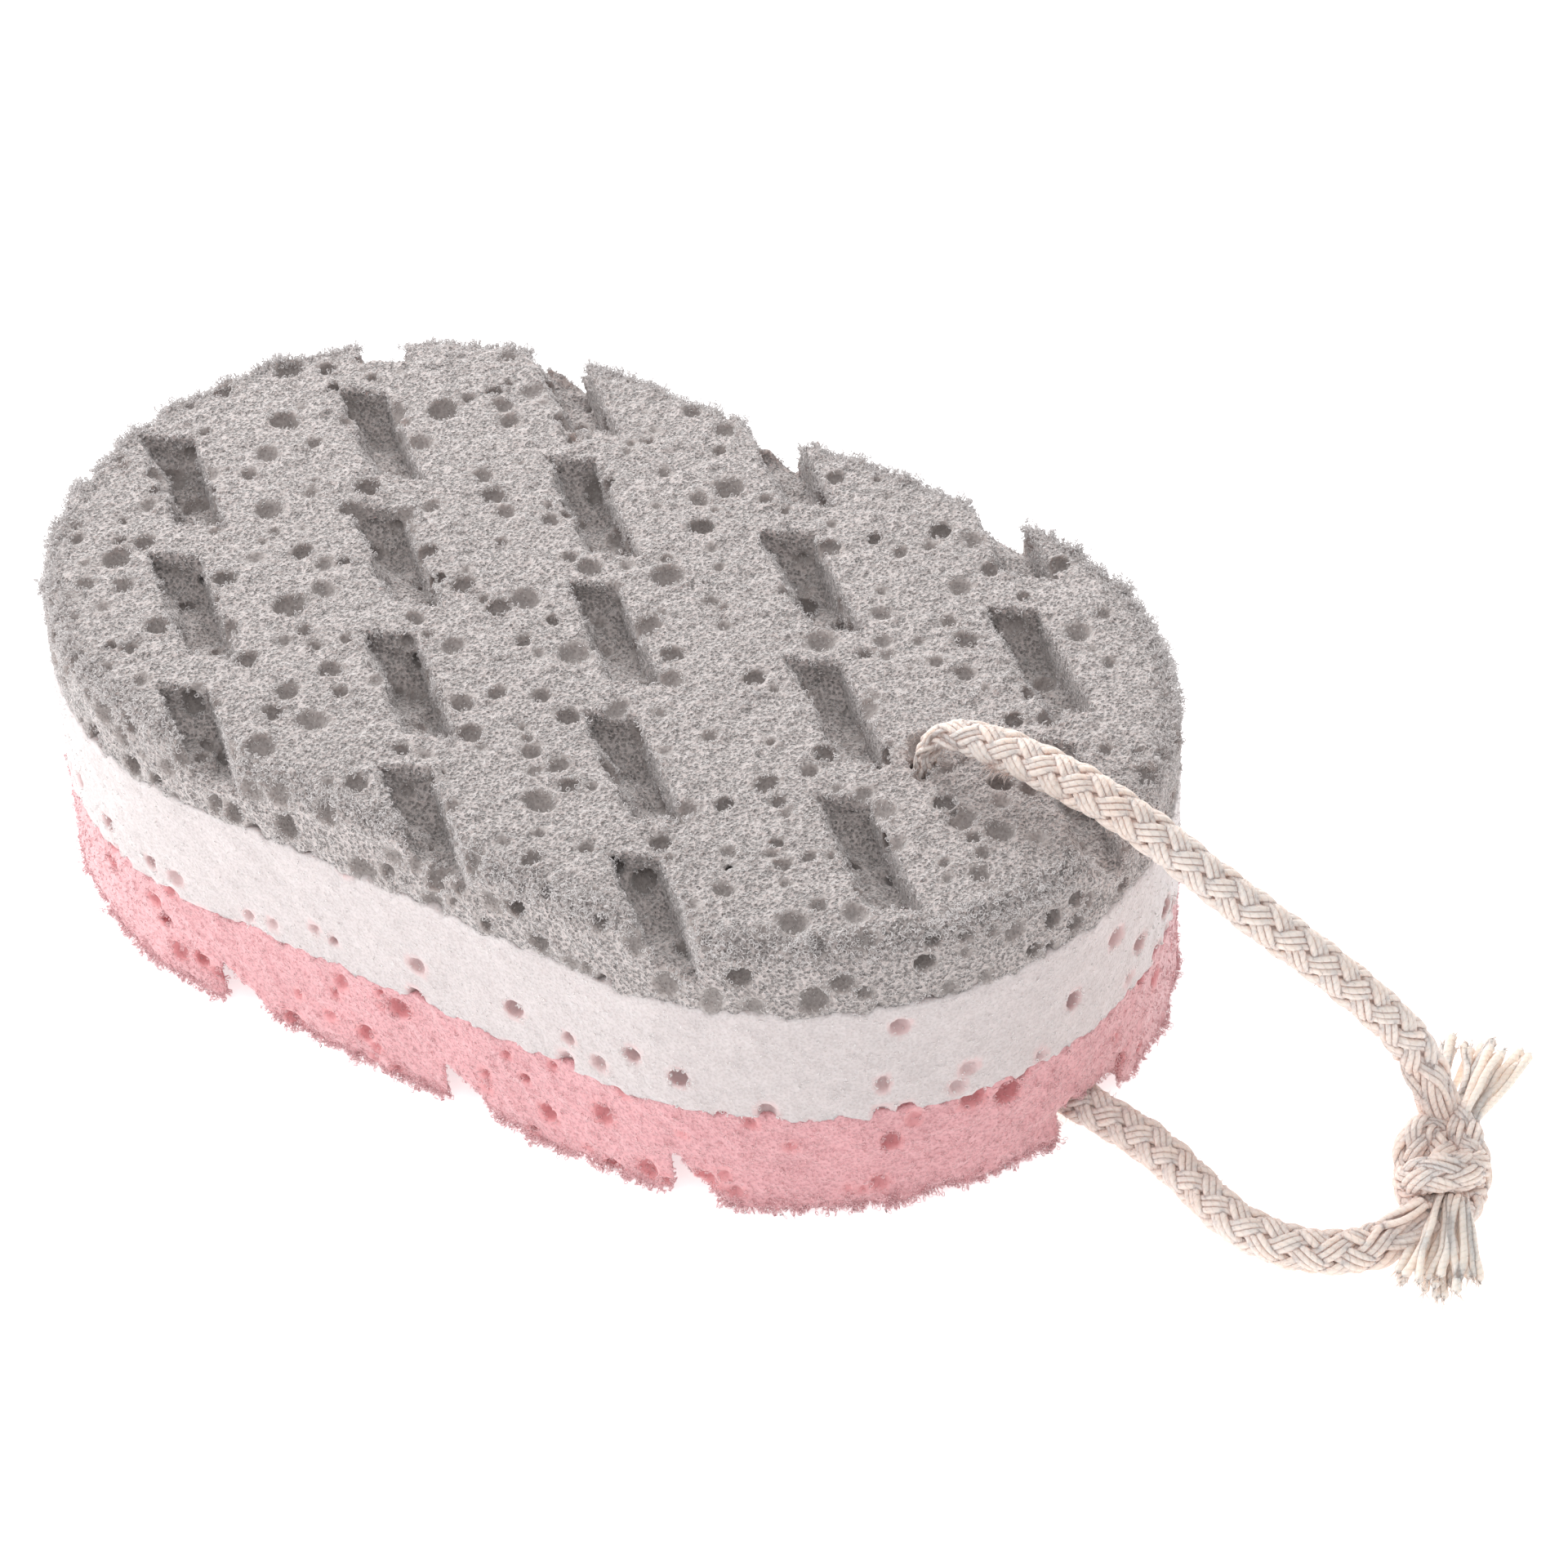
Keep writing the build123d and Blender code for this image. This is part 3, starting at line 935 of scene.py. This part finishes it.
def edge_weight(points, quads, normal):
    """How sharply the surface turns outwards at each face, from 0 to 1."""
    corner_sum = np.zeros_like(points)
    turns = np.zeros(len(points))
    directions = unit(normal)
    for i in range(4):
        np.add.at(corner_sum, quads[:, i], directions)
        np.add.at(turns, quads[:, i], 1)
    centre = points[quads].mean(1)
    spread = np.zeros(len(points))
    vertex_normal = unit(corner_sum)
    for i in range(4):
        np.add.at(spread, quads[:, i], ((points[quads[:, i]] - centre) * vertex_normal[quads[:, i]]).sum(1))
    bulge = spread / np.maximum(turns, 1)
    return np.clip(bulge[quads].mean(1) / 0.05, 0, 1)


# The lace of broken cells, in millimetres
RING_CORNERS = 5
RIM_REACH = 2.2
STEM_HALF_WIDTH = 0.035

# Rings to a square millimetre, before rims and edges are favoured, and their largest radius
COARSE_LACE = (2.2, 0.27)
FINE_LACE = (0.8, 0.22)


def square_stems(foot, head, half_width):
    """Closed square struts, one from each foot to its head: their points and quads."""
    along = unit(head - foot)
    side = unit(np.cross(along, (0.3, 0.5, 0.81)))
    other = np.cross(along, side)
    corners = [side, other, -side, -other]
    points = np.stack([end + corner * half_width for end in (foot, head) for corner in corners], 1)
    start = np.arange(len(foot))[:, None] * 8
    quads = [start + np.array([[i, (i + 1) % 4, (i + 1) % 4 + 4, i + 4]]) for i in range(4)]
    quads += [start + np.array([[3, 2, 1, 0]]), start + np.array([[4, 5, 6, 7]])]
    return points.reshape(-1, 3), np.stack(quads, 1).reshape(-1, 4)


def cell_rims(name, foam_mesh, material, per_mm2, size, seed, z_low, z_high):
    """Broken open cells on the foam: rings of thin cell wall, the raised ones held by a strut each."""
    points, quads, normal = foam_mesh
    rng = np.random.default_rng(seed)
    area = np.linalg.norm(normal, axis=1) / 2
    centre = points[quads].mean(1)
    open_face = (centre[:, 2] > z_low + 0.3) & (centre[:, 2] < z_high - 0.3)
    edge = edge_weight(points, quads, normal)
    side = np.hypot(np.maximum(np.abs(centre[:, 0]) - END_CENTRE, 0), centre[:, 1]) - HALF_WIDTH
    from_face = np.minimum(centre[:, 2], HEIGHT - centre[:, 2])
    rim = np.exp(-((side / RIM_REACH) ** 2) - (from_face / RIM_REACH) ** 2)
    weight = area * open_face * (0.55 + 3.2 * edge**1.5 + 5.0 * rim)
    count = int(weight.sum() * per_mm2)
    pick = rng.choice(len(quads), count, p=weight / weight.sum())
    share = rng.dirichlet((1, 1, 1, 1), count)
    root = (points[quads[pick]] * share[:, :, None]).sum(1)
    out = unit(normal[pick])
    axis = unit(rng.normal(0, 1, (count, 3)))
    standing = np.maximum(edge[pick], np.minimum(rim[pick] * 2, 1))
    radius = size * rng.uniform(0.55, 1.0, count) * (0.55 + 0.45 * standing)
    height = radius * rng.uniform(-0.2, 0.5 + 1.8 * edge[pick] + 3.8 * rim[pick], count)
    middle = root + out * height[:, None]
    first = unit(np.cross(axis, rng.normal(0, 1, (count, 3))))
    second = np.cross(axis, first)
    thick = rng.uniform(0.032, 0.055, count)
    rings = []
    places = []
    for corner in range(RING_CORNERS):
        angle = corner * 2 * math.pi / RING_CORNERS + rng.uniform(-0.25, 0.25, count)
        spoke = first * np.cos(angle)[:, None] + second * np.sin(angle)[:, None]
        place = middle + spoke * (radius * rng.uniform(0.8, 1.25, count))[:, None]
        places.append(place)
        for turn in (0.0, 2 * math.pi / 3, 4 * math.pi / 3):
            rings.append(place + (spoke * math.cos(turn) + axis * math.sin(turn)) * thick[:, None])
    vertices = np.stack(rings, 1).reshape(-1, 3)
    start = np.arange(count)[:, None] * RING_CORNERS * 3
    walls = []
    for corner in range(RING_CORNERS):
        here, after = corner * 3, (corner + 1) % RING_CORNERS * 3
        for turn in range(3):
            over = (turn + 1) % 3
            corners = (here + turn, here + over, after + over, after + turn)
            walls.append(np.concatenate([start + number for number in corners], 1))
    faces = np.stack(walls, 1).reshape(-1, 4)
    raised = height > 0.1 * radius
    stems, stem_faces = square_stems((root - out * 0.15)[raised], places[0][raised], STEM_HALF_WIDTH)
    faces = np.concatenate([faces, stem_faces + len(vertices)])
    vertices = np.concatenate([vertices, stems])
    vertices[:, 2] = np.maximum(vertices[:, 2], GROUND_CLEARANCE)
    return mesh_object(name, vertices * MM, faces, material)


def finish_layer(foam, name, node, materials, span, lace, seed):
    """Mesh a layer between the two heights of span, and its lace of broken cells."""
    layer, *foam_mesh = foam.mesh(name, materials[0], *span)
    fringe = cell_rims(name + "_cells", foam_mesh, materials[1], *lace, seed, *span)
    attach(layer, "sponge")
    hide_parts(node)
    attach(fringe, "sponge")


def make_top_layer():
    """The grey layer: coarse, with many pores and slots."""
    low, high = LAYER_BOXES["top_foam_layer"]
    foam = Foam(low, high, voxel=0.36, seed=41)
    rough, fine, finest = foam.noise(2.6), foam.noise(1.1), foam.noise(0.6)
    foam.hull = foam.rounded_rim(foam.z - high[2])
    foam.field = foam.hull + 0.14 + 0.18 * rough + 0.18 * fine + 0.20 * finest
    foam.field += foam.ragged_rim(foam.z - high[2], foam.noise(2.2), fine)
    foam.cut_slots(TOP_PATTERN, high[2], -1, TOP_SLOT_DEPTH, TOP_BANK_SLOPE, foam.noise(3.2), fine)
    foam.base = foam.field.copy()
    foam.cut_pores(0.034, 0.8, 1.8, 1.9, fine)
    foam.cut_pores(0.03, 0.4, 0.75, 1.0, fine)
    foam.cut_pores(0.06, 0.8, 1.7, 1.3, fine, in_the_side)
    foam.cut_bore(fine)
    span = (low[2] - HALF_BOND, high[2] + 2)
    finish_layer(foam, "grey_foam", "top_foam_layer", (grey_foam, grey_struts_lit), span, COARSE_LACE, seed=51)


def in_the_side(centres, rng):
    """Keeps only the pores that open in the oval's side."""
    past_end = np.maximum(np.abs(centres[:, 0]) - END_CENTRE, 0)
    return np.hypot(past_end, centres[:, 1]) > HALF_WIDTH - 1.2


def towards_pink(centres, rng):
    """Keeps most pores near the pink layer and few near the grey one."""
    return rng.uniform(0, 1, len(centres)) < np.clip((23 - centres[:, 2]) / 8, 0.1, 1)


def make_middle_layer():
    """The white layer: fine, with pores only towards the pink layer."""
    low, high = LAYER_BOXES["middle_foam_layer"]
    foam = Foam(low, high, voxel=0.42, seed=42)
    rough, fine, finest = foam.noise(3.0), foam.noise(1.2), foam.noise(0.7)
    foam.hull = np.broadcast_to(foam.side, [len(a) for a in foam.axes]).copy()
    foam.field = foam.hull + 0.05 + 0.10 * rough + 0.10 * fine + 0.12 * finest
    foam.base = foam.field.copy()
    foam.cut_pores(0.055, 0.55, 1.3, 1.5, fine, towards_pink)
    foam.cut_bore(fine)
    span = (low[2] - HALF_BOND, high[2] + HALF_BOND)
    materials = (white_foam, white_struts_lit)
    finish_layer(foam, "white_foam", "middle_foam_layer", materials, span, FINE_LACE, seed=52)


def make_bottom_layer():
    """The pink layer: slotted below, with the cord's channel and throat."""
    low, high = LAYER_BOXES["bottom_foam_layer"]
    foam = Foam(low, high, voxel=0.40, seed=43)
    rough, fine, finest = foam.noise(2.6), foam.noise(1.1), foam.noise(0.6)
    foam.hull = foam.rounded_rim(-foam.z)
    foam.field = foam.hull + 0.16 + 0.16 * rough + 0.14 * fine + 0.16 * finest
    foam.field += 1.3 * foam.ragged_rim(-foam.z, foam.noise(2.2), fine)
    foam.cut_slots(BOTTOM_PATTERN, 0.0, 1, BOTTOM_SLOT_DEPTH, BOTTOM_BANK_SLOPE, foam.noise(3.0), fine)
    foam.base = foam.field.copy()
    foam.cut_pores(0.020, 0.65, 1.35, 1.6, fine)
    foam.cut_pores(0.03, 0.35, 0.65, 1.0, fine)
    cut_channel(foam, fine)
    foam.cut_bore(fine)
    span = (0.0, high[2] + HALF_BOND)
    finish_layer(foam, "pink_foam", "bottom_foam_layer", (pink_foam, pink_struts_lit), span, COARSE_LACE, seed=53)


def cut_channel(foam, fine):
    """The fan-shaped channel and the throat that the cord leaves by."""
    turn = math.radians(CHANNEL_ANGLE)
    dx, dy = foam.x - BORE[0], foam.y - BORE[1]
    ahead = dx * math.cos(turn) + dy * math.sin(turn)
    beside = np.abs(dy * math.cos(turn) - dx * math.sin(turn))
    fan = beside - CHANNEL_HALF_WIDTH - np.maximum(ahead, 0) * math.tan(math.radians(CHANNEL_SPREAD))
    channel = np.maximum(np.maximum(fan, -ahead), foam.z - CHANNEL_HEIGHT)
    taper = np.clip((foam.z - CHANNEL_HEIGHT) / (THROAT_TOP - CHANNEL_HEIGHT), 0, 1)
    throat = np.hypot(dx, dy) - (THROAT_RADIUS + (BORE_RADIUS - THROAT_RADIUS) * taper)
    hollow = np.minimum(channel, np.maximum(throat, foam.z - THROAT_TOP))
    foam.field = smooth_max(foam.field, -(hollow + 0.15 * fine), 0.4)


make_top_layer()
make_middle_layer()
make_bottom_layer()


# The bonded skins between the layers


def bond_material(name, low, high):
    """A thin heat-bonded skin of melted foam."""
    n = Nodes(name)
    tone = n.mix(n.noise(1200.0, 3.0), (*low, 1.0), (*high, 1.0))
    n.put(n.shader.inputs["Base Color"], tone)
    n.shader.inputs["Roughness"].default_value = 0.55
    n.put(n.shader.inputs["Normal"], n.bump(n.noise(2500.0, 3.0), 0.0002))
    return n.material


def make_bond(name, node, seed, material):
    """A skin that stops just inside the foam's side, with an uneven edge and the bore through it."""
    rng = np.random.default_rng(seed)
    low, high = (corner.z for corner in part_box(node))
    steps = 360
    angle = np.arange(steps) * 2 * np.pi / steps
    inset = 1.5 + 0.5 * wander(np.arange(steps + 1.0), rng, 9.0, 1.0)[:steps]
    inset[-12:] += (inset[0] - inset[-1]) * np.linspace(0, 1, 12)
    ray = np.stack([np.cos(angle), np.sin(angle)], 1)
    rim = ray * (HALF_WIDTH - inset)[:, None]
    rim[:, 0] += END_CENTRE * np.clip(ray[:, 0] * 6, -1, 1)
    bore = np.array(BORE) + ray * (BORE_RADIUS + 0.2)
    ring_sets = [(bore, low), (rim, low), (rim, high), (bore, high)]
    points = [np.column_stack([ring * MM, np.full(steps, level)]) for ring, level in ring_sets]
    here = np.arange(steps)
    after = (here + 1) % steps
    quads = []
    for ring in range(4):
        near, far = ring * steps, (ring + 1) % 4 * steps
        quads.append(np.stack([here + near, here + far, after + far, after + near], 1))
    skin = mesh_object(name, np.concatenate(points), np.concatenate(quads), material)
    for polygon in skin.data.polygons:
        polygon.use_smooth = False
    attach(skin, "sponge")
    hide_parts(node)


grey_white_skin = bond_material("grey_white_bond", (0.62, 0.57, 0.56), (0.80, 0.75, 0.74))
make_bond("grey_white_bond", "upper_bond_film", seed=61, material=grey_white_skin)
white_pink_skin = bond_material("white_pink_bond", (0.84, 0.55, 0.56), (0.90, 0.72, 0.72))
make_bond("white_pink_bond", "lower_bond_film", seed=62, material=white_pink_skin)


# The floor and the light


def make_floor():
    """A plain white floor, much wider than the view."""
    bpy.ops.mesh.primitive_plane_add(size=6.0, location=(0, 0, 0))
    floor = bpy.context.object
    floor.name = "floor"
    n = Nodes("floor")
    n.shader.inputs["Base Color"].default_value = (0.95, 0.95, 0.95, 1.0)
    n.shader.inputs["Emission Color"].default_value = (1.0, 1.0, 1.0, 1.0)
    n.shader.inputs["Emission Strength"].default_value = 0.6
    n.shader.inputs["Roughness"].default_value = 0.9
    n.shader.inputs["Specular IOR Level"].default_value = 0.1
    floor.data.materials.append(n.material)


def make_light(name, place, size, power):
    """A soft square light aimed at the middle of the sponge."""
    data = bpy.data.lights.new(name, "AREA")
    data.shape = "SQUARE"
    data.size = size
    data.energy = power
    light = bpy.data.objects.new(name, data)
    bpy.context.scene.collection.objects.link(light)
    light.location = place
    aim = Vector((0.02, 0.0, 0.02)) - Vector(place)
    light.rotation_euler = aim.to_track_quat("-Z", "Y").to_euler()


def make_world(strength):
    """Even white light from all round."""
    world = bpy.data.worlds.new("studio")
    world.use_nodes = True
    world.node_tree.nodes["Background"].inputs["Color"].default_value = (1.0, 1.0, 1.0, 1.0)
    world.node_tree.nodes["Background"].inputs["Strength"].default_value = strength
    bpy.context.scene.world = world


make_floor()
make_world(strength=0.62)
make_light("key", (-0.48, 0.39, 0.45), size=0.45, power=5.8)
make_light("fill", (-0.75, -0.65, 0.4), size=0.7, power=5.2)
make_light("front", (0.35, -0.55, 0.9), size=0.6, power=3.2)
bpy.context.scene.view_settings.view_transform = "Standard"
